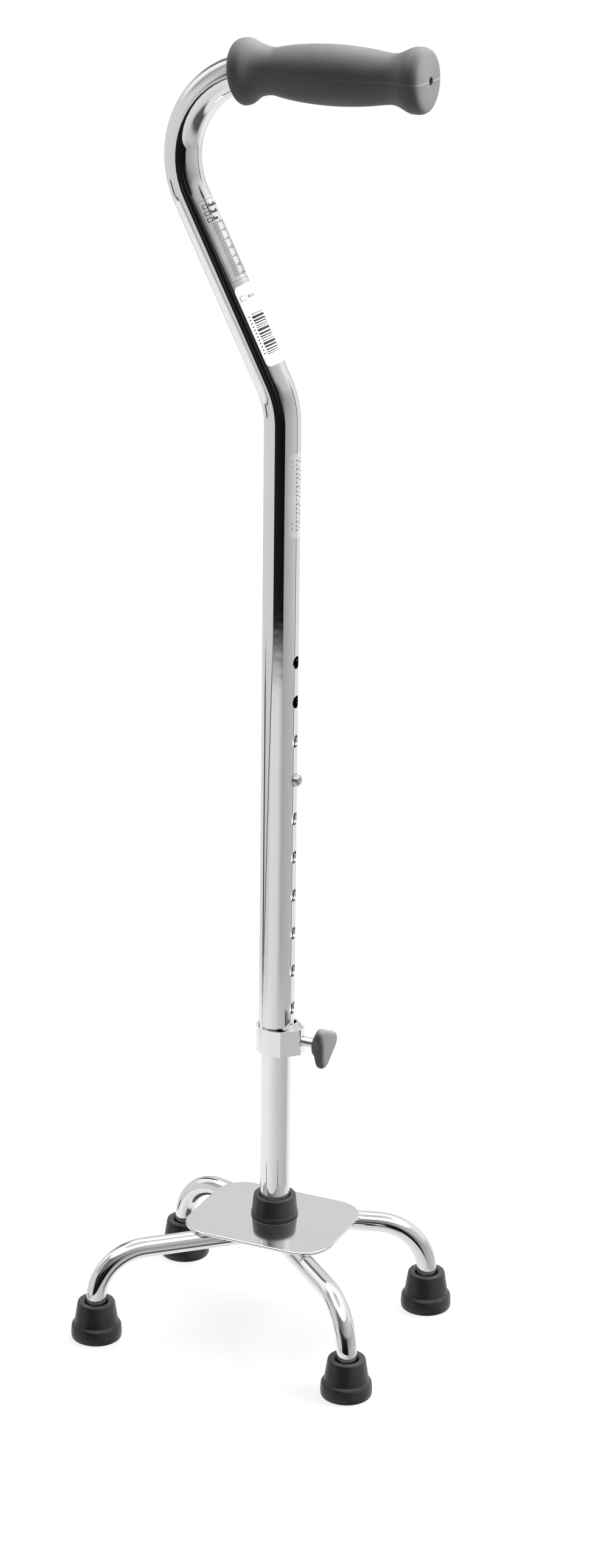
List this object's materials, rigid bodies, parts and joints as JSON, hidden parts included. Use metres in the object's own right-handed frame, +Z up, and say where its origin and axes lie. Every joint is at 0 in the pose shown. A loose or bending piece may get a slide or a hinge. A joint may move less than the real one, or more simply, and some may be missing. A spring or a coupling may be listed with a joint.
{
  "type": "quad walking cane",
  "caption": "Height-adjustable walking cane with an offset bent handle, padded grip, clamp knob, snap-button stem and small four-footed base.",
  "frame": {"origin": "on the floor in the middle of the four feet", "axes": "+X forward, the way the free end of the grip points; +Y to the user's side; +Z up"},
  "size_m": [0.2064, 0.161, 0.8173],
  "materials": {
    "tube_chrome": "bright chrome-plated steel tube",
    "clamp_plated": "bright plated sheet",
    "screw_plated": "zinc-plated screw",
    "knob_plastic": "satin grey moulded plastic",
    "grip_vinyl": "soft grey vinyl, fine grain",
    "button_steel": "polished steel",
    "spring_steel": "spring steel",
    "plate_plated": "plated steel sheet, fine satin grain",
    "rubber_black": "black satin rubber",
    "washer_steel": "plain steel",
    "label_clear": "clear sticker with a printed scale",
    "label_white": "white printed sticker",
    "label_frosted": "frosted translucent sticker"
  },
  "bodies": {
    "base": {"lower_tube": "tube_chrome", "button_spring": "spring_steel", "stem_sleeve": "rubber_black", "base_plate": "plate_plated", "right_leg_tube": "tube_chrome", "left_leg_tube": "tube_chrome", "tip_front_right": "rubber_black", "tip_front_left": "rubber_black", "tip_rear_right": "rubber_black", "tip_rear_left": "rubber_black", "washer_front_right": "washer_steel", "washer_front_left": "washer_steel", "washer_rear_right": "washer_steel", "washer_rear_left": "washer_steel"},
    "handle": {"upper_tube": "tube_chrome", "grip": "grip_vinyl", "clamp_band": "clamp_plated", "clamp_nut": "clamp_plated", "scale_label": "label_clear", "stock_label": "label_white", "care_label": "label_frosted"},
    "button": {"snap_button": "button_steel"},
    "screw": {"screw_shank": "screw_plated"},
    "thumb_knob": {"knob": "knob_plastic"}
  },
  "joints": [
    {"name": "height_slide", "type": "slide", "parent": "base", "child": "handle", "axis": [0, 0, 1], "range_m": [-0.0762, 0.1524], "deforming": ["snap_button", "button_spring"]},
    {"name": "button_press", "type": "slide", "parent": "base", "child": "button", "axis": [-1, 0, 0], "range_m": [0, 0.0054], "stiffness_N_per_m": 1500, "springref_m": -0.002, "deforming": ["button_spring"]},
    {"name": "screw_advance", "type": "slide", "parent": "handle", "child": "screw", "axis": [1, 0, 0], "range_m": [0, 0.00254]},
    {"name": "knob_turn", "type": "hinge", "parent": "screw", "child": "thumb_knob", "pos_m": [0.0295, 0.0225, 0.1902], "axis": [1, 0, 0], "range_deg": [0, 720]}
  ],
  "couplings": [
    {"joint": "knob_turn", "follows": "screw_advance", "rad_per_m": 4947.4}
  ]
}
